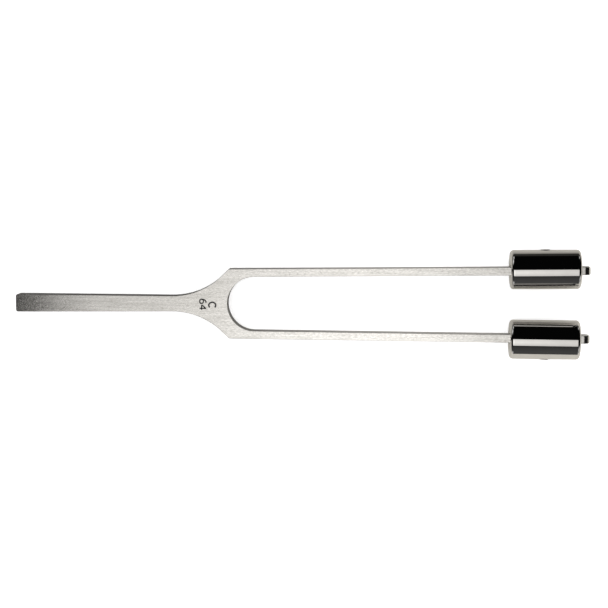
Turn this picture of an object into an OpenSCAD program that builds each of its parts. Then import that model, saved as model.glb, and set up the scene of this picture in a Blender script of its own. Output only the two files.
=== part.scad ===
// Weighted low-pitch tuning fork: a one-piece steel fork whose two tines each
// carry a polished sliding weight, clamped by a slotted set screw.
//
// Frame: origin at the middle of the stem's foot end face. +X runs along the
// fork's axis to the tine tips, +Y is the left tine's side, +Z is up, square
// to the flat of the fork. The flats of the fork lie at z = +/- fork_depth / 2.

/* [Overall] */
// Length from the foot face to the tine tips (mm)
fork_length = 215; // [200:1:240]
// Depth of the flat bar the fork is cut from, along Z (mm)
fork_depth = 6; // [5:0.25:7]

/* [Stem] */
// Width of the stem at its foot (mm)
foot_w = 6.6; // [5.5:0.1:7.5]
// Width of the stem at the neck, where the yoke starts (mm)
neck_w = 5.8; // [5:0.1:7]
// Distance from the foot to the neck, where the flare begins (mm)
neck_x = 59.1; // [54:0.1:59.5]
// Corner radius of the foot end (mm)
foot_r = 0.7; // [0.4:0.1:2]

/* [Yoke] */
// Radius of the hollow flare from the neck to the shoulder (mm)
flare_r = 27; // [24:1:30]
// Angle that the flare turns through (degrees)
flare_deg = 42.5; // [38:0.5:44]
// X of the outer shoulder corner (mm)
shoulder_x = 80.5; // [79.5:0.1:82]
// X of the centre of the round bottom between the tines (mm)
bight_x = 90.1; // [88.5:0.1:91]

/* [Tines] */
// Thickness of a tine, across the fork (mm)
tine_t = 3.0; // [2.6:0.1:3.4]
// Outward splay of each tine from the fork's axis (degrees)
splay_deg = 0.52; // [0.3:0.02:1]
// X of the line at each tine's root that it flexes about (mm)
flex_x = 93.8; // [93.5:0.1:94.5]
// Distance of that line from the fork's axis (mm)
flex_y = 11.7; // [11:0.05:12.5]
// Bevel on the tip's two upright edges (mm)
tip_bevel = 0.4; // [0.2:0.05:0.8]
// Rounding of the tip towards the two flats (mm)
tip_round = 2.3; // [0.5:0.1:2.5]

/* [Weights] */
// Diameter of a weight (mm)
weight_d = 14.7; // [13.5:0.1:16]
// Length of a weight (mm)
weight_l = 26; // [22:0.5:30]
// Radius of the rounding at a weight's two ends (mm)
weight_fillet = 1.3; // [0.8:0.1:2]
// Distance from the foot face to the middle of a weight, along X (mm)
weight_x = 198.3; // [194:0.1:199]
// Outward offset of a weight from its tine's middle (mm)
weight_out = 0.45; // [0:0.05:0.5]
// Clearance of the weight's slot at the tine's inner face and flats (mm)
slot_gap = 0.05; // [0.03:0.01:0.1]
// Clearance of the slot on the tine's outer side, which the set screw spans
slot_play = 0.4; // [0.1:0.05:0.8]

/* [Set screws] */
// Diameter of a set screw's thread (mm)
screw_d = 4; // [3:0.5:5]
// Height that a set screw stands proud of its weight (mm)
screw_proud = 0.1; // [0:0.05:0.5]
// Width of the driver slot (mm)
driver_w = 0.8; // [0.5:0.1:1]
// Depth of the driver slot (mm)
driver_t = 1.4; // [1:0.1:1.8]
// Radial clearance between a set screw and its hole (mm)
thread_gap = 0.03; // [0.02:0.01:0.1]

/* [Hidden] */

$fn = 96;

// Outward lines of a tine: distance from the axis at a given x
function tine_mid(x) = flex_y + (x - flex_x) * tan(splay_deg);
half_t = tine_t / 2 / cos(splay_deg);
function tine_out(x) = tine_mid(x) + half_t;
function tine_in(x) = tine_mid(x) - half_t;

// The round bottom touches both inner faces
bight_r = tine_in(bight_x) * cos(splay_deg);
// End of the hollow flare, from which a straight edge runs to the shoulder
flare_end = [neck_x + flare_r * sin(flare_deg),
             neck_w / 2 + flare_r * (1 - cos(flare_deg))];
// The tine's root is a short round face about the flex line
root_r = 3;
root_gap = 0.02;
// Length of a tine from the flex line to its tip
tine_l = (fork_length - flex_x) / cos(splay_deg);
// Distance of a weight's middle from the flex line
weight_s = (weight_x - flex_x) / cos(splay_deg);
// The set screw runs from just off the tine to just proud of the weight
tip_clear = 0.02;
screw_low = tine_t / 2 + tip_clear;
screw_high = weight_out + weight_d / 2 + screw_proud;
screw_l = screw_high - screw_low;
screw_chamfer = 0.35;

// Places a child drawn in a left tine's own frame: x from the flex line
// towards the tip, y outward, z up. side is 1 for left and -1 for right.
module on_tine(side) {
    if (side > 0)
        translate([flex_x, flex_y, 0]) rotate([0, 0, splay_deg]) children();
    else
        mirror([0, 1, 0])
            translate([flex_x, flex_y, 0]) rotate([0, 0, splay_deg]) children();
}

// Stem and yoke outline before the hollows are cut, one side and its mirror
side_points = [
    [0, foot_w / 2], [foot_r, foot_w / 2], [neck_x, neck_w / 2], flare_end,
    [shoulder_x, tine_out(shoulder_x)], [flex_x, tine_out(flex_x)]
];

module outline() {
    n = len(side_points);
    polygon([
        for (i = [0 : n - 1]) side_points[i],
        for (i = [n - 1 : -1 : 0]) [side_points[i][0], -side_points[i][1]]
    ]);
}

// What is cut from the foot's corner on the +Y side to round it
module foot_corner() {
    difference() {
        translate([-1, foot_w / 2 - foot_r]) square([1 + foot_r, foot_r + 1]);
        translate([foot_r, foot_w / 2 - foot_r]) circle(r = foot_r);
    }
}

// Space between the tines: a round bottom that opens along both inner faces
module bight() {
    translate([bight_x, 0]) circle(r = bight_r);
    polygon([
        [bight_x - bight_r * sin(splay_deg), -bight_r * cos(splay_deg)],
        [bight_x - bight_r * sin(splay_deg), bight_r * cos(splay_deg)],
        [flex_x + 5, tine_in(flex_x + 5)],
        [flex_x + 5, -tine_in(flex_x + 5)]
    ]);
}

module flare_cuts() {
    for (s = [1, -1])
        translate([neck_x, s * (neck_w / 2 + flare_r)]) circle(r = flare_r);
}

module stem_and_yoke() {
    color("silver") difference() {
        translate([0, 0, -fork_depth / 2]) linear_extrude(fork_depth)
            difference() {
                outline();
                bight();
                flare_cuts();
                foot_corner();
                mirror([0, 1]) foot_corner();
            }
        // Round seats of the two tine roots
        for (s = [1, -1])
            translate([flex_x, s * flex_y, -fork_depth])
                cylinder(r = root_r + root_gap, h = 2 * fork_depth);
    }
}

// What is cut from the tip's edge at the upper flat to round it, along Y
module tip_corner() {
    translate([tine_l - tip_round, 0, fork_depth / 2 - tip_round])
        rotate([90, 0, 0])
            translate([0, 0, -tine_t])
                linear_extrude(2 * tine_t) difference() {
                    square([tip_round + 1, tip_round + 1]);
                    circle(r = tip_round);
                }
}

// Bar with a round root about the flex line and a rounded, bevelled tip
module tine_bar() {
    difference() {
        intersection() {
            translate([-root_r, -tine_t / 2, -fork_depth / 2])
                cube([root_r + tine_l, tine_t, fork_depth]);
            union() {
                translate([0, 0, -fork_depth])
                    cylinder(r = root_r, h = 2 * fork_depth);
                translate([0, -tine_t, -fork_depth])
                    cube([tine_l + 1, 2 * tine_t, 2 * fork_depth]);
            }
        }
        tip_corner();
        mirror([0, 0, 1]) tip_corner();
        // Bevels at the tip's upright edges
        for (s = [1, -1])
            translate([tine_l, s * tine_t / 2, 0]) rotate([0, 0, 45])
                cube([tip_bevel * sqrt(2), tip_bevel * sqrt(2), 2 * fork_depth],
                     center = true);
    }
}

module tine(side) {
    color("silver") on_tine(side) tine_bar();
}

// Cylinder along X with rounded ends, centred on the origin
module rounded_barrel(d, l, f) {
    rotate([0, 90, 0]) rotate_extrude() {
        translate([0, -l / 2]) square([d / 2 - f, l]);
        translate([0, -l / 2 + f]) square([d / 2, l - 2 * f]);
        for (s = [1, -1])
            translate([d / 2 - f, s * (l / 2 - f)]) circle(r = f);
    }
}

module weight_shape() {
    difference() {
        translate([weight_s, weight_out, 0])
            rounded_barrel(weight_d, weight_l, weight_fillet);
        // Slot for the tine: the inner wall bears on the tine and the screw
        // spans the clearance left on the outer side
        translate([weight_s, (slot_play - slot_gap) / 2, 0])
            cube([weight_l + 2, tine_t + slot_gap + slot_play,
                  fork_depth + 2 * slot_gap], center = true);
        // Tapped hole for the set screw, from the outside to the slot
        translate([weight_s, 0, 0]) rotate([-90, 0, 0])
            cylinder(r = screw_d / 2 + thread_gap, h = weight_d);
    }
}

module weight(side) {
    color("dimgray") on_tine(side) weight_shape();
}

// Slotted set screw with a chamfer at each end, standing on +Y
module set_screw_shape() {
    translate([weight_s, 0, 0]) rotate([-90, 0, 0]) difference() {
        rotate_extrude() polygon([
            [0, screw_low],
            [screw_d / 2 - screw_chamfer, screw_low],
            [screw_d / 2, screw_low + screw_chamfer],
            [screw_d / 2, screw_high - screw_chamfer],
            [screw_d / 2 - screw_chamfer, screw_high],
            [0, screw_high]
        ]);
        translate([0, 0, screw_high])
            cube([screw_d + 1, driver_w, 2 * driver_t], center = true);
    }
}

module set_screw(side) {
    color("gray") on_tine(side) set_screw_shape();
}

module tine_left() { tine(1); }
module tine_right() { tine(-1); }
module weight_left() { weight(1); }
module weight_right() { weight(-1); }
module set_screw_left() { set_screw(1); }
module set_screw_right() { set_screw(-1); }

stem_and_yoke();
tine_left();
tine_right();
weight_left();
weight_right();
set_screw_left();
set_screw_right();
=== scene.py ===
import math

import bmesh
import bpy
import numpy as np
from mathutils import Matrix, Vector


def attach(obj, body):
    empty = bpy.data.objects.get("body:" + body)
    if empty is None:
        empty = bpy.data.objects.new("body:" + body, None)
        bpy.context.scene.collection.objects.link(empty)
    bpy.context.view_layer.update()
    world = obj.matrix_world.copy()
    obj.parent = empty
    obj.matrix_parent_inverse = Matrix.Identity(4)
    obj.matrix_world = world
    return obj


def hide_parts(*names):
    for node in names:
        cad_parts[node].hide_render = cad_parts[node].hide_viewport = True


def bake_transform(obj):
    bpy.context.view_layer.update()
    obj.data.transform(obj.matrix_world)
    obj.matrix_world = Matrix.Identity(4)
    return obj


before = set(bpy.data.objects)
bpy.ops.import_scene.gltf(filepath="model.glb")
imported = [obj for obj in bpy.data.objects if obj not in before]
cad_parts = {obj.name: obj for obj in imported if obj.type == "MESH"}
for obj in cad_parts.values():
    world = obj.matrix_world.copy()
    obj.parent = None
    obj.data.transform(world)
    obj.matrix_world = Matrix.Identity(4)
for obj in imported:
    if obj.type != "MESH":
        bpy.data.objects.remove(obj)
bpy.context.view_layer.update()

MM = 0.001

# ---------------------------------------------------------------- dimensions
# In millimetres, in the fork's own frame: x from the foot to the tips, y to the
# left tine, z square to the flat.
LENGTH = 215.0
HALF_Z = 3.0
FOOT_W, NECK_W, NECK_X, FOOT_R = 6.6, 5.8, 59.1, 0.7
FLARE_R, FLARE_DEG = 27.0, 42.5
SHOULDER_X, BIGHT_X = 80.5, 90.1
TINE_T = 3.0
SPLAY = math.radians(0.52)
FLEX_X, FLEX_Y = 93.8, 11.7
WEIGHT_D, WEIGHT_L, WEIGHT_F = 14.7, 26.0, 1.3
WEIGHT_S = (198.3 - FLEX_X) / math.cos(SPLAY)
WEIGHT_OUT = 0.45
SLOT_GAP = 0.05
SLOT_PLAY = 0.4
SCREW_D, SCREW_PROUD, DRIVER_W, DRIVER_T = 4.0, 0.1, 0.8, 1.4
SEAM_S = -2.8
TINE_L = (LENGTH - FLEX_X) / math.cos(SPLAY)
EDGE = 0.15


def tine_mid(x):
    return FLEX_Y + (x - FLEX_X) * math.tan(SPLAY)


HALF_T = TINE_T / 2 / math.cos(SPLAY)


def on_tine(side):
    """Matrix from a tine's own frame (s along it from the flex line, y outward) to the fork's, in millimetres."""
    c, s = math.cos(SPLAY), math.sin(SPLAY)
    m = Matrix(((c, -s, 0, FLEX_X), (s, c, 0, FLEX_Y), (0, 0, 1, 0), (0, 0, 0, 1)))
    if side < 0:
        m = Matrix.Diagonal((1, -1, 1, 1)) @ m
    return m


# ------------------------------------------------------------------- helpers
def mesh_object(name, bm, matrix=None):
    """Closes a bmesh in millimetres into an object in metres."""
    if matrix is not None:
        bm.transform(matrix)
        if matrix.determinant() < 0:
            bmesh.ops.reverse_faces(bm, faces=bm.faces)
    bm.transform(Matrix.Scale(MM, 4))
    bm.normal_update()
    me = bpy.data.meshes.new(name)
    bm.to_mesh(me)
    bm.free()
    ob = bpy.data.objects.new(name, me)
    bpy.context.scene.collection.objects.link(ob)
    for p in me.polygons:
        p.use_smooth = True
    return ob


def apply_modifier(ob, kind, **settings):
    m = ob.modifiers.new("step", kind)
    for k, v in settings.items():
        setattr(m, k, v)
    bpy.context.view_layer.objects.active = ob
    with bpy.context.temp_override(object=ob, active_object=ob, selected_objects=[ob]):
        bpy.ops.object.modifier_apply(modifier=m.name)
    return ob


def sharpen(ob, degrees):
    """Marks edges that turn by more than the angle as sharp, and weights the normals by face area."""
    me = ob.data
    bm = bmesh.new()
    bm.from_mesh(me)
    limit = math.radians(degrees)
    for e in bm.edges:
        e.smooth = not (len(e.link_faces) == 2 and e.calc_face_angle(0) > limit)
    for f in bm.faces:
        f.smooth = True
    bm.to_mesh(me)
    bm.free()
    return apply_modifier(ob, "WEIGHTED_NORMAL", keep_sharp=True, weight=90)


def boolean(ob, cutter, operation="DIFFERENCE"):
    apply_modifier(ob, "BOOLEAN", operation=operation, solver="EXACT", object=cutter)
    bpy.data.objects.remove(cutter, do_unlink=True)
    return ob


def arc(cx, cy, r, a0, a1, n, ends=True):
    """Points on an arc in degrees, from a0 to a1."""
    out = []
    for i in range(n + 1):
        a = math.radians(a0 + (a1 - a0) * i / n)
        out.append((cx + r * math.cos(a), cy + r * math.sin(a)))
    return out if ends else out[1:-1]


def fillet(p, q, r_pt, radius, n):
    """Rounds the corner q between p and r_pt with an arc of the radius."""
    p, q, s = Vector(p), Vector(q), Vector(r_pt)
    a, b = (p - q).normalized(), (s - q).normalized()
    half = a.angle(b) / 2
    reach = radius / math.tan(half)
    centre = q + (a + b).normalized() * (radius / math.sin(half))
    start, end = q + a * reach, q + b * reach
    v0, v1 = start - centre, end - centre
    total = v0.angle_signed(v1)
    out = []
    for i in range(n + 1):
        t = -total * i / n
        c, w = math.cos(t), math.sin(t)
        out.append((centre.x + v0.x * c - v0.y * w, centre.y + v0.x * w + v0.y * c))
    return out


def open_normals(points, first=None, last=None):
    """Outward (left-hand) mitre normals of an open run of points; the ends can be given."""
    pts = [Vector(p) for p in points]
    n = len(pts)
    out = []
    for i in range(n):
        d0 = (pts[i] - pts[i - 1]).normalized() if i else None
        d1 = (pts[i + 1] - pts[i]).normalized() if i < n - 1 else None
        n0 = Vector((-d0.y, d0.x)) if d0 else None
        n1 = Vector((-d1.y, d1.x)) if d1 else None
        if n0 is None or n1 is None:
            v = n1 if n0 is None else n0
        else:
            m = (n0 + n1).normalized()
            v = m / max(0.5, m.dot(n0))
        out.append(v)
    if first is not None:
        out[0] = Vector(first)
    if last is not None:
        out[-1] = Vector(last)
    return out


def edge_profile(r, half_z, n):
    """Inset and height down a wall with both edges rounded."""
    out = []
    for i in range(n + 1):
        a = math.radians(90 * i / n)
        out.append((r * (1 - math.sin(a)), half_z - r + r * math.cos(a)))
    for i in range(n + 1):
        a = math.radians(90 * i / n)
        out.append((r * (1 - math.cos(a)), -half_z + r - r * math.sin(a)))
    return out


# ------------------------------------------------------------ stem and yoke
def build_stem_and_yoke():
    c, s = math.cos(SPLAY), math.sin(SPLAY)
    seam = Vector((FLEX_X + SEAM_S * c, FLEX_Y + SEAM_S * s))
    out_corner = seam + Vector((-s, c)) * (TINE_T / 2)
    in_corner = seam - Vector((-s, c)) * (TINE_T / 2)
    shoulder = (SHOULDER_X, tine_mid(SHOULDER_X) + HALF_T)
    flare_end = (
        NECK_X + FLARE_R * math.sin(math.radians(FLARE_DEG)),
        NECK_W / 2 + FLARE_R * (1 - math.cos(math.radians(FLARE_DEG))),
    )
    # The left half of the outer edge, from the seam back to the foot
    side = [tuple(out_corner)]
    for i in range(1, 5):
        x = out_corner.x + (shoulder[0] + 1.2 - out_corner.x) * i / 5
        side.append((x, tine_mid(x) + HALF_T))
    side += fillet(out_corner, shoulder, flare_end, 0.35, 6)
    side += arc(NECK_X, NECK_W / 2 + FLARE_R, FLARE_R, -90 + FLARE_DEG, -90, 44)
    for i in range(1, 24):
        t = i / 24
        side.append((NECK_X + (FOOT_R - NECK_X) * t, NECK_W / 2 + (FOOT_W - NECK_W) / 2 * t))
    side += arc(FOOT_R, FOOT_W / 2 - FOOT_R, FOOT_R, 90, 180, 10)
    run = side + [(x, -y) for x, y in reversed(side)]
    # Going left seam -> foot -> right seam, the outside is on the right hand
    outer_n = [-v for v in open_normals(run, (s, -c), (-s, c) if False else None)]
    outer_n[0] = Vector((-s, c))
    outer_n[-1] = Vector((-s, -c))
    # The inner edge, from the left seam round the bight to the right seam
    bight_r = (tine_mid(BIGHT_X) - HALF_T) * c
    a0 = 90 + math.degrees(SPLAY)
    inner = [tuple(in_corner)]
    inner += arc(BIGHT_X, 0, bight_r, a0, 360 - a0, 120)
    inner += [(in_corner.x, -in_corner.y)]
    inner_n = open_normals(inner)
    # The hollow is on the left hand of this run, which is outside the metal
    inner_n = [v if v.dot(Vector((BIGHT_X + 4, 0)) - Vector(p)) > 0 else -v for v, p in zip(inner_n, inner)]
    inner_n[0] = Vector((s, -c))
    inner_n[-1] = Vector((s, c))

    prof = edge_profile(EDGE, HALF_Z, 5)
    lean = [math.radians(18 * k) for k in range(6)]
    lean += [math.pi / 2 + a for a in lean]
    bm = bmesh.new()
    exact = []

    def rows(points, normals):
        out = []
        for p, n in zip(points, normals):
            u = n.normalized()
            exact.extend(Vector((u.x * math.sin(a), u.y * math.sin(a), math.cos(a))) for a in lean)
            out.append([bm.verts.new((p[0] - n.x * d, p[1] - n.y * d, z)) for d, z in prof])
        return out

    outer_rows, inner_rows = rows(run, outer_n), rows(inner, inner_n)
    for grid in (outer_rows, inner_rows):
        for i in range(len(grid) - 1):
            for k in range(len(prof) - 1):
                bm.faces.new((grid[i][k], grid[i + 1][k], grid[i + 1][k + 1], grid[i][k + 1]))
    # Flat seam ends, where the tines carry on
    for o, n in ((outer_rows[0], inner_rows[0]), (outer_rows[-1], inner_rows[-1])):
        bm.faces.new(o + list(reversed(n)))
    # The two flats
    for k in (0, len(prof) - 1):
        edges = []
        loop = [r[k] for r in outer_rows] + [r[k] for r in reversed(inner_rows)]
        for a, b in zip(loop, loop[1:] + loop[:1]):
            e = bm.edges.get((a, b)) or bm.edges.new((a, b))
            edges.append(e)
        bmesh.ops.triangle_fill(bm, use_beauty=True, edges=edges)
    bmesh.ops.recalc_face_normals(bm, faces=bm.faces)
    ob = mesh_object("stem_and_yoke_steel", bm)
    # True normals: flat on the flats and the seams, turning only round the edges
    me = ob.data
    loops = []
    for p in me.polygons:
        level = abs(p.normal.z) > 0.9999 or p.loop_total > 4
        loops.extend(tuple(p.normal if level else exact[v]) for v in p.vertices)
    me.normals_split_custom_set(loops)
    return ob


# -------------------------------------------------------------------- tines
def section(half_t, half_z, r, n):
    """Points round a rounded rectangle in (y, z)."""
    pts = []
    for cx, cz, a0 in ((1, 1, 0), (-1, 1, 90), (-1, -1, 180), (1, -1, 270)):
        for i in range(n + 1):
            a = math.radians(a0 + 90 * i / n)
            pts.append((cx * (half_t - r) + r * math.cos(a), cz * (half_z - r) + r * math.sin(a)))
    return pts


def build_tine(name, side):
    stations = [SEAM_S]
    x = SEAM_S
    while x < 9:
        x += 0.4
        stations.append(x)
    while x < TINE_L - 4:
        x += 2.0
        stations.append(min(x, TINE_L - 2.4))
    tip_r, tip_side = 2.3, 0.6
    stations = sorted({round(v, 5) for v in stations if v < TINE_L - 2.0})
    stations += [TINE_L - tip_r + tip_r * math.sin(math.radians(a)) for a in range(0, 91, 10)]
    bm = bmesh.new()
    rings = []
    for s in stations:
        dz = dy = 0.0
        t = (s - (TINE_L - tip_r)) / tip_r
        if t > 0:
            dz = tip_r * (1 - math.sqrt(max(0.0, 1 - t * t)))
        t = (s - (TINE_L - tip_side)) / tip_side
        if t > 0:
            dy = tip_side * (1 - math.sqrt(max(0.0, 1 - min(1.0, t) ** 2)))
        rings.append([
            bm.verts.new((s, y, z))
            for y, z in section(TINE_T / 2 - dy, HALF_Z - dz, EDGE, 5)
        ])
    n = len(rings[0])
    for a, b in zip(rings, rings[1:]):
        for i in range(n):
            bm.faces.new((a[i], a[(i + 1) % n], b[(i + 1) % n], b[i]))
    bm.faces.new(list(reversed(rings[0])))
    bm.faces.new(rings[-1])
    bmesh.ops.recalc_face_normals(bm, faces=bm.faces)
    ob = mesh_object(name, bm, on_tine(side))
    return sharpen(ob, 50)


# ------------------------------------------------------------------ weights
def build_weight(name, side):
    seg, r, half, f = 288, WEIGHT_D / 2, WEIGHT_L / 2, WEIGHT_F
    slot_y = (TINE_T + SLOT_GAP + SLOT_PLAY) / 2
    slot_mid = (SLOT_PLAY - SLOT_GAP) / 2 - WEIGHT_OUT
    slot_z = HALF_Z + SLOT_GAP
    slot_r = 0.25
    bm = bmesh.new()
    # Outside: down the end rounding, along the barrel, round the other end
    prof = [(r - f + f * math.sin(math.radians(a)), -half + f - f * math.cos(math.radians(a))) for a in range(0, 91, 6)]
    prof += [(rr, -x) for rr, x in reversed(prof)]
    rings = [
        [bm.verts.new((x, rr * math.cos(2 * math.pi * i / seg), rr * math.sin(2 * math.pi * i / seg))) for i in range(seg)]
        for rr, x in prof
    ]
    for a, b in zip(rings, rings[1:]):
        for i in range(seg):
            bm.faces.new((a[i], a[(i + 1) % seg], b[(i + 1) % seg], b[i]))
    # Slot: a rounded rectangle whose mouths are broken by a small chamfer
    chamfer = 0.2

    def slot_ring(x, grow):
        hy, hz, rr = slot_y + grow, slot_z + grow, slot_r + grow
        pts = section(hy, hz, rr, 5)
        return [bm.verts.new((x, y + slot_mid, z)) for y, z in pts]

    inner = [slot_ring(-half, chamfer), slot_ring(-half + chamfer, 0.0), slot_ring(half - chamfer, 0.0), slot_ring(half, chamfer)]
    m = len(inner[0])
    for a, b in zip(inner, inner[1:]):
        for i in range(m):
            bm.faces.new((a[i], b[i], b[(i + 1) % m], a[(i + 1) % m]))
    # End faces between the round edge and the slot's mouth
    for ring, hole in ((rings[0], inner[0]), (rings[-1], inner[-1])):
        edges = []
        for loop in (ring, hole):
            for a, b in zip(loop, loop[1:] + loop[:1]):
                edges.append(bm.edges.get((a, b)) or bm.edges.new((a, b)))
        bmesh.ops.triangle_fill(bm, use_beauty=True, edges=edges)
    bmesh.ops.recalc_face_normals(bm, faces=bm.faces)
    bm.transform(Matrix.Translation((WEIGHT_S, WEIGHT_OUT, 0)))
    ob = mesh_object(name, bm, None)
    # Tapped hole with a countersunk mouth
    cut = bmesh.new()
    hole_r = SCREW_D / 2 + 0.03
    top = WEIGHT_OUT + r
    prof = [(0.0, -0.2), (hole_r, -0.2), (hole_r, top - 0.28), (hole_r + 0.3, top + 0.02), (hole_r + 0.9, top + 0.6), (0.0, top + 0.6)]
    n = 96
    loops = []
    for rr, y in prof[1:-1]:
        loops.append([cut.verts.new((WEIGHT_S + rr * math.cos(2 * math.pi * i / n), y, rr * math.sin(2 * math.pi * i / n))) for i in range(n)])
    for a, b in zip(loops, loops[1:]):
        for i in range(n):
            cut.faces.new((a[i], b[i], b[(i + 1) % n], a[(i + 1) % n]))
    cut.faces.new(loops[0])
    cut.faces.new(list(reversed(loops[-1])))
    bmesh.ops.recalc_face_normals(cut, faces=cut.faces)
    cutter = mesh_object(name + "_cut", cut)
    boolean(ob, cutter)
    # True normals on the turned surfaces, so that the polish shows no facets
    me = ob.data
    bm = bmesh.new()
    bm.from_mesh(me)
    bmesh.ops.remove_doubles(bm, verts=bm.verts, dist=1e-7)
    bm.normal_update()
    normals = []
    kinds = []
    for face in bm.faces:
        face.smooth = True
        centre = face.calc_center_median() / MM
        x, y, z = centre.x - WEIGHT_S, centre.y - WEIGHT_OUT, centre.z
        rad = math.hypot(y, z)
        n_face = face.normal
        turned = rad > r - f - 0.02 and (rad > r - 0.05 or abs(x) > half - f - 0.02) and abs(rad - 0) > 0
        if turned and rad > r - 0.05 and abs(x) < half - f + 0.02:
            radial = Vector((0, y, z)).normalized()
            turned = n_face.dot(radial) > 0.995
        flat_end = abs(n_face.x) > 0.9999
        in_slot = abs(y - slot_mid) <= slot_y + chamfer and abs(z) <= slot_z + chamfer and not flat_end and rad < r - f
        for loop in face.loops:
            p = loop.vert.co / MM
            px, py, pz = p.x - WEIGHT_S, p.y - WEIGHT_OUT, p.z
            if turned and not flat_end:
                ax = min(max(px, -half + f), half - f)
                pr = math.hypot(py, pz)
                radial = Vector((0, py / pr, pz / pr))
                v = Vector((px - ax, 0, 0)) + radial * (pr - (r - f))
                normals.append(v.normalized())
            elif flat_end:
                normals.append(Vector((1 if n_face.x > 0 else -1, 0, 0)))
            elif not in_slot and not turned:
                # the screw's hole: a cylinder or a cone about Y
                d = Vector((p.x - WEIGHT_S, 0, p.z))
                q = Vector((n_face.x, 0, n_face.z))
                if d.length > 1e-6 and q.length > 0.3:
                    v = -d.normalized() * q.length
                    v.y = n_face.y
                    normals.append(v.normalized())
                else:
                    normals.append(n_face.copy())
            else:
                normals.append(n_face.copy())
        kinds.append(1 if (in_slot or (not turned and not flat_end)) else 0)
    for face, kind in zip(bm.faces, kinds):
        face.material_index = kind
    bm.to_mesh(me)
    bm.free()
    for p in me.polygons:
        p.use_smooth = True
    mat = on_tine(side)
    full = Matrix.Scale(MM, 4) @ mat @ Matrix.Scale(1 / MM, 4)
    rot = mat.to_3x3()
    me.normals_split_custom_set([tuple(n) for n in normals])
    me.transform(full)
    if full.determinant() < 0:
        me.flip_normals()
        turned_normals = flipped_loops(me, [rot @ n for n in normals])
    else:
        turned_normals = [rot @ n for n in normals]
    me.normals_split_custom_set([tuple(n.normalized()) for n in turned_normals])
    return ob


def flipped_loops(me, normals):
    """Loop normals in the order that flip_normals leaves: each face keeps its first corner and reverses the rest."""
    out = [None] * len(normals)
    for p in me.polygons:
        s, t = p.loop_start, p.loop_total
        old = [s] + [s + t - i for i in range(1, t)]
        for k in range(t):
            out[s + k] = normals[old[k]]
    return out


# --------------------------------------------------------------- set screws
def build_set_screw(name, side):
    low = TINE_T / 2 + 0.02
    high = WEIGHT_OUT + WEIGHT_D / 2 + SCREW_PROUD
    r_major, r_minor, pitch = SCREW_D / 2 - 0.005, SCREW_D / 2 - 0.40, 0.7
    seg, per = 72, 14
    rows = int(round((high - low) / pitch * per))
    bm = bmesh.new()
    rings = []
    for j in range(rows + 1):
        y = low + (high - low) * j / rows
        ring = []
        for i in range(seg):
            a = 2 * math.pi * i / seg
            u = (y / pitch - a / (2 * math.pi)) % 1.0
            # 60 degree flanks with a flat crest and a rounded root
            tri = abs(u - 0.5) * 2
            rr = r_major - (r_major - r_minor) * min(1.0, max(0.0, (tri - 0.14) / 0.74))
            cap = min(y - low, high - y)
            rr = min(rr, SCREW_D / 2 - (0.42 if y - low < high - y else 0.14) + cap * 1.0)
            ring.append(bm.verts.new((rr * math.cos(a), y, rr * math.sin(a))))
        rings.append(ring)
    for a, b in zip(rings, rings[1:]):
        for i in range(seg):
            bm.faces.new((a[i], b[i], b[(i + 1) % seg], a[(i + 1) % seg]))
    # Ends: a flat tip and a flat head
    for ring, y, flip in ((rings[0], low, False), (rings[-1], high, True)):
        loop = ring
        edges = [bm.edges.get((a, b)) for a, b in zip(loop, loop[1:] + loop[:1])]
        bm.faces.new(loop if not flip else list(reversed(loop)))
    bmesh.ops.recalc_face_normals(bm, faces=bm.faces)
    bm.transform(Matrix.Translation((WEIGHT_S, 0, 0)))
    ob = mesh_object(name, bm)
    # Driver slot with a slightly rounded floor
    cut = bmesh.new()
    w, t = DRIVER_W / 2, DRIVER_T
    sec = [(-w, high + 1), (-w, high - t + 0.12), (-w + 0.12, high - t), (w - 0.12, high - t), (w, high - t + 0.12), (w, high + 1)]
    a = [cut.verts.new((WEIGHT_S - 3, y, z)) for z, y in sec]
    b = [cut.verts.new((WEIGHT_S + 3, y, z)) for z, y in sec]
    for i in range(len(sec)):
        j = (i + 1) % len(sec)
        cut.faces.new((a[i], a[j], b[j], b[i]))
    cut.faces.new(list(reversed(a)))
    cut.faces.new(b)
    bmesh.ops.recalc_face_normals(cut, faces=cut.faces)
    boolean(ob, mesh_object(name + "_cut", cut))
    me = ob.data
    mat = Matrix.Scale(MM, 4) @ on_tine(side) @ Matrix.Scale(1 / MM, 4)
    me.transform(mat)
    if mat.determinant() < 0:
        me.flip_normals()
    return sharpen(ob, 24)


# -------------------------------------------------------------- pitch marks
def ribbon(bm, points, width, closed, lift=0.008, sink=0.03):
    """A thin flat stroke along points, centred on them, from just in the face to just proud of it."""
    pts = [Vector(p) for p in points]
    n = len(pts)
    top_l, top_r, bot_l, bot_r = [], [], [], []
    for i in range(n):
        if closed:
            d = (pts[(i + 1) % n] - pts[i - 1]).normalized()
        else:
            d = (pts[min(i + 1, n - 1)] - pts[max(i - 1, 0)]).normalized()
        nn = Vector((-d.y, d.x)) * (width / 2)
        for lst, q, z in ((top_l, pts[i] + nn, HALF_Z + lift), (top_r, pts[i] - nn, HALF_Z + lift), (bot_l, pts[i] + nn, HALF_Z - sink), (bot_r, pts[i] - nn, HALF_Z - sink)):
            lst.append(bm.verts.new((q.x, q.y, z)))
    last = n if closed else n - 1
    for i in range(last):
        j = (i + 1) % n
        bm.faces.new((top_r[i], top_r[j], top_l[j], top_l[i]))
        bm.faces.new((bot_l[i], bot_l[j], bot_r[j], bot_r[i]))
        bm.faces.new((top_l[i], top_l[j], bot_l[j], bot_l[i]))
        bm.faces.new((bot_r[i], bot_r[j], top_r[j], top_r[i]))
    if not closed:
        bm.faces.new((top_l[0], bot_l[0], bot_r[0], top_r[0]))
        bm.faces.new((top_r[-1], bot_r[-1], bot_l[-1], top_l[-1]))


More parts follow.
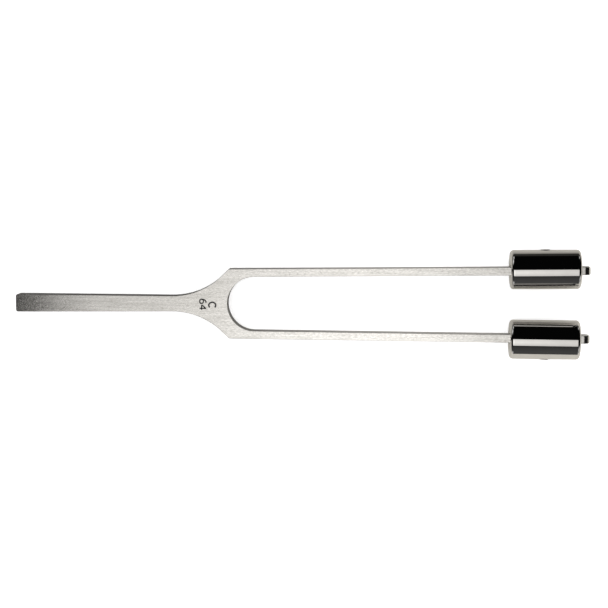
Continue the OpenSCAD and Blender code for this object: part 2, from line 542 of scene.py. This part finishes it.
def smooth_run(points, n):
    """Points on a Catmull-Rom curve through the given ones."""
    p = [Vector(q) for q in points]
    p = [p[0] * 2 - p[1]] + p + [p[-1] * 2 - p[-2]]
    out = []
    for i in range(1, len(p) - 2):
        for k in range(n):
            t = k / n
            out.append(0.5 * (2 * p[i] + (p[i + 1] - p[i - 1]) * t + (2 * p[i - 1] - 5 * p[i] + 4 * p[i + 1] - p[i + 2]) * t * t
                              + (3 * p[i] - p[i - 1] - 3 * p[i + 1] + p[i + 2]) * t ** 3))
    out.append(p[-2])
    return [tuple(q) for q in out]


def build_pitch_mark():
    """The note letter and the pitch in hertz, read with the tines upward."""
    bm = bmesh.new()

    def place(u, v, cx, cy):
        # letter right is -y, letter up is +x
        return (cx + v, cy - u)

    # Letter C
    cx, cy, w, h = 74.3, -0.55, 2.25, 2.6
    pts = [place(w / 2 * math.cos(math.radians(a)), h / 2 * math.sin(math.radians(a)), cx, cy) for a in range(44, 317, 3)]
    ribbon(bm, pts, 0.60, False)
    # Figure 6
    cx, cy, w, h = 70.75, 0.92, 1.62, 2.5
    bowl = [place(w / 2 * math.cos(math.radians(a)), -h / 2 + 0.78 + 0.72 * math.sin(math.radians(a)), cx, cy) for a in range(0, 360, 6)]
    ribbon(bm, bowl, 0.50, True)
    stem = [place(x, y, cx, cy) for x, y in ((-0.79, -0.44), (-0.775, -0.1), (-0.69, 0.31), (-0.5, 0.7), (-0.21, 1.01), (0.17, 1.19), (0.54, 1.18))]
    ribbon(bm, smooth_run(stem, 4), 0.50, False)
    # Figure 4
    cx, cy = 70.75, -1.34
    for a, b in (((0.38, -1.25), (0.38, 1.25)), ((0.46, 1.2), (-0.9, -0.38)), ((-0.96, -0.44), (0.96, -0.44))):
        k = 5
        ribbon(bm, [place(a[0] + (b[0] - a[0]) * i / k, a[1] + (b[1] - a[1]) * i / k, cx, cy) for i in range(k + 1)], 0.48, False)
    bmesh.ops.recalc_face_normals(bm, faces=bm.faces)
    ob = mesh_object("pitch_mark", bm)
    for p in ob.data.polygons:
        p.use_smooth = False
    return ob


# ---------------------------------------------------------------- materials
def new_material(name):
    m = bpy.data.materials.new(name)
    m.use_nodes = True
    nt = m.node_tree
    nt.nodes.clear()
    out = nt.nodes.new("ShaderNodeOutputMaterial")
    bsdf = nt.nodes.new("ShaderNodeBsdfPrincipled")
    nt.links.new(bsdf.outputs["BSDF"], out.inputs["Surface"])
    return m, nt, bsdf


def node(nt, kind, **settings):
    n = nt.nodes.new(kind)
    for k, v in settings.items():
        setattr(n, k, v)
    return n


def noise(nt, coords, scale, detail=3.0, rough=0.55, stretch=(1, 1, 1)):
    mp = node(nt, "ShaderNodeMapping")
    mp.inputs["Scale"].default_value = stretch
    nt.links.new(coords, mp.inputs["Vector"])
    n = node(nt, "ShaderNodeTexNoise")
    n.inputs["Scale"].default_value = scale
    n.inputs["Detail"].default_value = detail
    n.inputs["Roughness"].default_value = rough
    nt.links.new(mp.outputs["Vector"], n.inputs["Vector"])
    return n.outputs["Fac"]


def ramp(nt, fac, a, b, ca, cb):
    r = node(nt, "ShaderNodeMapRange")
    r.inputs["From Min"].default_value = a
    r.inputs["From Max"].default_value = b
    r.inputs["To Min"].default_value = ca
    r.inputs["To Max"].default_value = cb
    nt.links.new(fac, r.inputs["Value"])
    return r.outputs["Result"]


def mix_value(nt, op, a, b):
    m = node(nt, "ShaderNodeMath", operation=op)
    for i, v in enumerate((a, b)):
        if isinstance(v, (int, float)):
            m.inputs[i].default_value = v
        else:
            nt.links.new(v, m.inputs[i])
    return m.outputs[0]


def mix_colour(nt, fac, ca, cb):
    m = node(nt, "ShaderNodeMix", data_type="RGBA")
    nt.links.new(fac, m.inputs["Factor"])
    m.inputs[6].default_value = (*ca, 1)
    m.inputs[7].default_value = (*cb, 1)
    return m.outputs[2]


def satin_steel(name, low, high, rough_low, rough_high, lift, spread=0.0):
    """Satin steel with a fine grain drawn out along the bar, clouding and a few longer scratches."""
    m, nt, b = new_material(name)
    tc = node(nt, "ShaderNodeTexCoord")
    obj = tc.outputs["Object"]
    grain = noise(nt, obj, 2000.0, 4.0, 0.65, (0.42, 1.0, 1.0))
    long_grain = noise(nt, obj, 1500.0, 3.0, 0.55, (0.05, 1.0, 1.0))
    fine = noise(nt, obj, 5200.0, 2.0, 0.5, (0.35, 1.0, 1.0))
    cloud = noise(nt, obj, 170.0, 3.0, 0.6, (0.6, 1.0, 1.0))
    tone = mix_value(nt, "ADD", mix_value(nt, "MULTIPLY", grain, 0.55), mix_value(nt, "MULTIPLY", long_grain, 0.25))
    tone = mix_value(nt, "ADD", tone, mix_value(nt, "MULTIPLY", cloud, 0.20))
    colour = mix_colour(nt, ramp(nt, tone, 0.38, 0.62, 0.0, 1.0), low, high)
    nt.links.new(colour, b.inputs["Base Color"])
    rough = mix_value(nt, "ADD", mix_value(nt, "MULTIPLY", grain, 0.7), mix_value(nt, "MULTIPLY", cloud, 0.3))
    nt.links.new(ramp(nt, rough, 0.32, 0.68, rough_low, rough_high), b.inputs["Roughness"])
    b.inputs["Metallic"].default_value = 1.0
    if spread:
        b.inputs["Anisotropic"].default_value = spread
        across = node(nt, "ShaderNodeCombineXYZ")
        across.inputs["Y"].default_value = 1.0
        nt.links.new(across.outputs["Vector"], b.inputs["Tangent"])
    bump = node(nt, "ShaderNodeBump")
    bump.inputs["Strength"].default_value = lift
    bump.inputs["Distance"].default_value = 0.00004
    height = mix_value(nt, "ADD", grain, mix_value(nt, "MULTIPLY", long_grain, 0.6))
    height = mix_value(nt, "ADD", height, mix_value(nt, "MULTIPLY", fine, 0.4))
    nt.links.new(height, bump.inputs["Height"])
    nt.links.new(bump.outputs["Normal"], b.inputs["Normal"])
    return m


def polished_nickel():
    m, nt, b = new_material("polished_nickel")
    tc = node(nt, "ShaderNodeTexCoord")
    obj = tc.outputs["Object"]
    haze = noise(nt, obj, 260.0, 4.0, 0.6)
    scratch = noise(nt, obj, 3000.0, 2.0, 0.5, (0.04, 1.0, 1.0))
    colour = mix_colour(nt, ramp(nt, haze, 0.35, 0.65, 0.0, 1.0), (0.63, 0.62, 0.605), (0.66, 0.65, 0.635))
    nt.links.new(colour, b.inputs["Base Color"])
    nt.links.new(ramp(nt, haze, 0.3, 0.75, 0.018, 0.05), b.inputs["Roughness"])
    b.inputs["Metallic"].default_value = 1.0
    bump = node(nt, "ShaderNodeBump")
    bump.inputs["Strength"].default_value = 0.05
    bump.inputs["Distance"].default_value = 0.00001
    nt.links.new(scratch, bump.inputs["Height"])
    nt.links.new(bump.outputs["Normal"], b.inputs["Normal"])
    return m


def machined_steel():
    m, nt, b = new_material("machined_steel")
    tc = node(nt, "ShaderNodeTexCoord")
    obj = tc.outputs["Object"]
    marks = noise(nt, obj, 1800.0, 3.0, 0.6, (0.2, 1.0, 1.0))
    colour = mix_colour(nt, ramp(nt, marks, 0.35, 0.65, 0.0, 1.0), (0.54, 0.53, 0.52), (0.66, 0.65, 0.635))
    nt.links.new(colour, b.inputs["Base Color"])
    nt.links.new(ramp(nt, marks, 0.3, 0.7, 0.26, 0.40), b.inputs["Roughness"])
    b.inputs["Metallic"].default_value = 1.0
    bump = node(nt, "ShaderNodeBump")
    bump.inputs["Strength"].default_value = 0.25
    bump.inputs["Distance"].default_value = 0.00002
    nt.links.new(marks, bump.inputs["Height"])
    nt.links.new(bump.outputs["Normal"], b.inputs["Normal"])
    return m


def etched_mark():
    m, nt, b = new_material("etched_mark")
    tc = node(nt, "ShaderNodeTexCoord")
    obj = tc.outputs["Object"]
    speck = noise(nt, obj, 2400.0, 3.0, 0.6)
    colour = mix_colour(nt, ramp(nt, speck, 0.35, 0.7, 0.0, 1.0), (0.022, 0.022, 0.022), (0.075, 0.073, 0.07))
    nt.links.new(colour, b.inputs["Base Color"])
    nt.links.new(ramp(nt, speck, 0.3, 0.7, 0.45, 0.65), b.inputs["Roughness"])
    b.inputs["Metallic"].default_value = 0.0
    b.inputs["Specular IOR Level"].default_value = 0.3
    return m


def floor_material():
    """White where it is seen directly; what the metal mirrors is a painted pool of light round the tines, with painted
    shade towards the foot and past the left tine's side.
    """
    m, nt, b = new_material("studio_floor")
    split = node(nt, "ShaderNodeSeparateXYZ")
    nt.links.new(node(nt, "ShaderNodeTexCoord").outputs["Object"], split.inputs[0])
    # Painted light and shade for what the metal mirrors: a lit pool from the tines outward, dimmed towards the foot and
    # dark past the left tine's side.
    along = ramp(nt, split.outputs["X"], 0.055, 0.125, 0.30, 1.0)
    side = ramp(nt, split.outputs["Y"], 0.022, 0.060, 1.0, 0.04)
    painted_light_patch = mix_value(nt, "MULTIPLY", mix_value(nt, "MULTIPLY", along, side), 0.72)
    path = node(nt, "ShaderNodeLightPath")
    seen = mix_value(nt, "MULTIPLY", path.outputs["Is Camera Ray"], 0.9)
    grey = node(nt, "ShaderNodeCombineColor")
    for k, tint in (("Red", 1.0), ("Green", 0.965), ("Blue", 0.89)):
        nt.links.new(mix_value(nt, "MAXIMUM", mix_value(nt, "MULTIPLY", painted_light_patch, tint), seen), grey.inputs[k])
    nt.links.new(grey.outputs[0], b.inputs["Base Color"])
    b.inputs["Roughness"].default_value = 0.9
    b.inputs["Specular IOR Level"].default_value = 0.0
    lift = node(nt, "ShaderNodeEmission")
    nt.links.new(mix_value(nt, "MULTIPLY", path.outputs["Is Camera Ray"], FLOOR_LIFT), lift.inputs["Strength"])
    add = node(nt, "ShaderNodeAddShader")
    nt.links.new(b.outputs["BSDF"], add.inputs[0])
    nt.links.new(lift.outputs["Emission"], add.inputs[1])
    out = next(n for n in nt.nodes if n.type == "OUTPUT_MATERIAL")
    nt.links.new(add.outputs[0], out.inputs["Surface"])
    return m


FLOOR_LIFT = 0.5
STEEL = satin_steel("satin_steel", (0.46, 0.45, 0.43), (0.77, 0.76, 0.74), 0.14, 0.25, 0.42, 0.75)
# The walls' steel: a rougher cut finish whose darker colour is painted shade, standing in for the shaded floor that the
# walls mirror.
CUT_STEEL_PAINTED_SHADE = satin_steel("cut_steel_painted_shade", (0.36, 0.362, 0.37), (0.47, 0.473, 0.485), 0.24, 0.38, 0.42)
NICKEL = polished_nickel()
MACHINED = machined_steel()
ETCHED = etched_mark()



def finish_fork(ob):
    """Satin on the flats and their rounded edges, and the cut finish on the walls: rougher, with a darker colour that
    is painted shade, the shade the walls mirror from the floor.
    """
    ob.data.materials.append(STEEL)
    ob.data.materials.append(CUT_STEEL_PAINTED_SHADE)
    for p in ob.data.polygons:
        p.material_index = 1 if abs(p.normal.z) < 0.30 else 0


# ------------------------------------------------------------------- pieces
yoke = build_stem_and_yoke()
finish_fork(yoke)
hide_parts("stem_and_yoke")
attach(yoke, "fork")

mark = build_pitch_mark()
mark.data.materials.append(ETCHED)
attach(mark, "fork")

for word, side in (("left", 1), ("right", -1)):
    tine = build_tine("tine_%s_steel" % word, side)
    finish_fork(tine)
    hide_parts("tine_%s" % word)
    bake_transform(tine)

    weight = build_weight("weight_%s_nickel" % word, side)
    weight.data.materials.append(NICKEL)
    weight.data.materials.append(MACHINED)
    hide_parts("weight_%s" % word)
    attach(weight, "weight_%s" % word)

    screw = build_set_screw("set_screw_%s_steel" % word, side)
    screw.data.materials.append(MACHINED)
    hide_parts("set_screw_%s" % word)
    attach(screw, "set_screw_%s" % word)

# -------------------------------------------------------------------- floor
# The fork lies on the foot's lower edge and on the weights' stem-side ends.
weight_touch = WEIGHT_S + FLEX_X - WEIGHT_L / 2 + WEIGHT_F
tilt = math.atan((WEIGHT_D / 2 - HALF_Z) / weight_touch)
bm = bmesh.new()
bmesh.ops.create_grid(bm, x_segments=8, y_segments=8, size=4.0)
me = bpy.data.meshes.new("studio_floor")
bm.to_mesh(me)
bm.free()
floor = bpy.data.objects.new("studio_floor", me)
bpy.context.scene.collection.objects.link(floor)
floor.rotation_euler = (0, tilt, 0)
floor.location = (0, 0, -HALF_Z * MM - 0.00004)
floor.data.materials.append(floor_material())

# ------------------------------------------------------------------- lights
# Softbox: a bright panel over the fork, warmer and brighter towards its middle
def panel(name, x0, x1, y0, y1, z, build, camera=False, diffuse=True, shadow=True):
    bm = bmesh.new()
    vs = [bm.verts.new(v) for v in ((x0, y0, z), (x1, y0, z), (x1, y1, z), (x0, y1, z))]
    bm.faces.new(vs)
    me = bpy.data.meshes.new(name)
    bm.to_mesh(me)
    bm.free()
    o = bpy.data.objects.new(name, me)
    bpy.context.scene.collection.objects.link(o)
    o.visible_camera = camera
    o.visible_diffuse = diffuse
    o.visible_shadow = shadow
    m = bpy.data.materials.new(name)
    m.use_nodes = True
    m.node_tree.nodes.clear()
    build(m.node_tree)
    me.materials.append(m)
    return o


def softbox_shader(nt):
    tc = node(nt, "ShaderNodeTexCoord")
    split = node(nt, "ShaderNodeSeparateXYZ")
    nt.links.new(tc.outputs["Object"], split.inputs[0])
    edge = node(nt, "ShaderNodeMapRange", interpolation_type="SMOOTHSTEP")
    for k, v in (("From Min", -0.087), ("From Max", -0.073), ("To Min", 0.02), ("To Max", 1.0)):
        edge.inputs[k].default_value = v
    nt.links.new(split.outputs["X"], edge.inputs["Value"])
    far = node(nt, "ShaderNodeMapRange", interpolation_type="SMOOTHSTEP")
    for k, v in (("From Min", 0.15), ("From Max", 0.30), ("To Min", 1.0), ("To Max", 0.80)):
        far.inputs[k].default_value = v
    nt.links.new(split.outputs["X"], far.inputs["Value"])
    mp = node(nt, "ShaderNodeMapping")
    mp.inputs["Location"].default_value = (-SPOT[0] / SPOT[2], -SPOT[1] / SPOT[3], -PANEL_Z)
    mp.inputs["Scale"].default_value = (1 / SPOT[2], 1 / SPOT[3], 1.0)
    nt.links.new(tc.outputs["Object"], mp.inputs["Vector"])
    length = node(nt, "ShaderNodeVectorMath", operation="LENGTH")
    nt.links.new(mp.outputs["Vector"], length.inputs[0])
    sq = mix_value(nt, "MULTIPLY", length.outputs["Value"], length.outputs["Value"])
    g = mix_value(nt, "POWER", 2.718, mix_value(nt, "MULTIPLY", sq, -1.0))
    strength = mix_value(nt, "ADD", mix_value(nt, "MULTIPLY", g, PANEL_HOT), PANEL_BASE)
    strength = mix_value(nt, "MULTIPLY", mix_value(nt, "MULTIPLY", strength, edge.outputs["Result"]), far.outputs["Result"])
    em = node(nt, "ShaderNodeEmission")
    em.inputs["Color"].default_value = (1.0, 0.985, 0.96, 1)
    nt.links.new(strength, em.inputs["Strength"])
    out = node(nt, "ShaderNodeOutputMaterial")
    nt.links.new(em.outputs[0], out.inputs["Surface"])


PANEL_Z = 0.45
PANEL_BASE, PANEL_HOT = 1.05, 0.90
SPOT = (0.125, -0.10, 0.10, 0.12)
panel("softbox", -0.22, 0.34, -0.29, 0.033, PANEL_Z, softbox_shader)

# The room: bright for the table, dark for what the metal mirrors
world = bpy.data.worlds.new("studio")
bpy.context.scene.world = world
world.use_nodes = True
nt = world.node_tree
nt.nodes.clear()
out = nt.nodes.new("ShaderNodeOutputWorld")


def background(colour, strength=1.0):
    b = nt.nodes.new("ShaderNodeBackground")
    b.inputs["Strength"].default_value = strength
    if isinstance(colour, tuple):
        b.inputs["Color"].default_value = (*colour, 1)
    else:
        nt.links.new(colour, b.inputs["Color"])
    return b


def mix_shader(fac, a, b):
    m = nt.nodes.new("ShaderNodeMixShader")
    nt.links.new(fac, m.inputs["Fac"])
    nt.links.new(a, m.inputs[1])
    nt.links.new(b, m.inputs[2])
    return m.outputs[0]


direction = node(nt, "ShaderNodeTexCoord").outputs["Generated"]
split = node(nt, "ShaderNodeSeparateXYZ")
nt.links.new(direction, split.inputs[0])
# A dim wall on the right tine's side, a little lighter towards the table
wall = ramp(nt, split.outputs["Y"], -0.45, -1.0, 0.0, 1.0)
wall_on = ramp(nt, split.outputs["Y"], -0.40, -0.55, 0.0, 1.0)
level = mix_value(nt, "MULTIPLY", wall_on, mix_value(nt, "ADD", mix_value(nt, "MULTIPLY", wall, 0.045), 0.030))
level = mix_value(nt, "ADD", level, 0.002)
# Pale walls to both sides, parted by a dark lane straight across the weights
off_lane = mix_value(nt, "ABSOLUTE", mix_value(nt, "SUBTRACT", split.outputs["X"], 0.10), 0.0)
side_y = mix_value(nt, "ABSOLUTE", split.outputs["Y"], 0.0)
walls = mix_value(nt, "MULTIPLY", ramp(nt, off_lane, 0.15, 0.26, 0.0, 1.0), ramp(nt, side_y, 0.80, 0.90, 0.0, 1.0))
walls = mix_value(nt, "MULTIPLY", walls, ramp(nt, split.outputs["Z"], 0.22, 0.36, 1.0, 0.0))
level = mix_value(nt, "MAXIMUM", level, mix_value(nt, "MULTIPLY", walls, 0.8))
# A pale card in each of two opposite corners of the room
cross = mix_value(nt, "MULTIPLY", mix_value(nt, "MULTIPLY", split.outputs["X"], split.outputs["Y"]), -1.0)
flat2 = mix_value(nt, "SUBTRACT", 1.0001, mix_value(nt, "MULTIPLY", split.outputs["Z"], split.outputs["Z"]))
corner = ramp(nt, mix_value(nt, "DIVIDE", cross, flat2), 0.38, 0.47, 0.0, 1.0)
corner = mix_value(nt, "MULTIPLY", corner, ramp(nt, split.outputs["Z"], 0.10, 0.20, 0.0, 1.0))
corner = mix_value(nt, "MULTIPLY", corner, ramp(nt, split.outputs["Z"], 0.46, 0.56, 1.0, 0.0))
level = mix_value(nt, "MAXIMUM", level, mix_value(nt, "MULTIPLY", corner, 0.9))
grey = node(nt, "ShaderNodeCombineColor")
for k in ("Red", "Green", "Blue"):
    nt.links.new(level, grey.inputs[k])
lp = nt.nodes.new("ShaderNodeLightPath")
mirror_room = background(grey.outputs[0])
table_room = background((1.0, 1.0, 1.0), 1.2)
seen_room = background((1.0, 1.0, 1.0), 1.0)
s1 = mix_shader(lp.outputs["Is Diffuse Ray"], mirror_room.outputs[0], table_room.outputs[0])
s2 = mix_shader(lp.outputs["Is Camera Ray"], s1, seen_room.outputs[0])
nt.links.new(s2, out.inputs["Surface"])

# ------------------------------------------------------------------- camera
target = Vector((108.55, -0.205, 0.0)) * MM
place = Vector((139.0, 59.0, 600.0)) * MM
cam_data = bpy.data.cameras.new("camera")
cam_data.sensor_width = 36.0
cam_data.sensor_fit = "HORIZONTAL"
distance = (place - target).length
px_per_m = 1000 / 0.3752
cam_data.lens = 36.0 * (distance * px_per_m) / 608.0
cam_data.clip_start, cam_data.clip_end = 0.01, 20.0
cam = bpy.data.objects.new("camera", cam_data)
bpy.context.scene.collection.objects.link(cam)
look = (target - place).normalized()
roll = math.radians(0.015)
up_hint = Vector((math.sin(roll), math.cos(roll), 0.0))
right = look.cross(up_hint).normalized()
up = right.cross(look).normalized()
cam.rotation_mode = "QUATERNION"
cam.rotation_quaternion = Matrix((right, up, -look)).transposed().to_quaternion()
cam.location = place
bpy.context.scene.camera = cam
bpy.context.scene.view_settings.view_transform = "Standard"
bpy.context.scene.view_settings.look = "None"
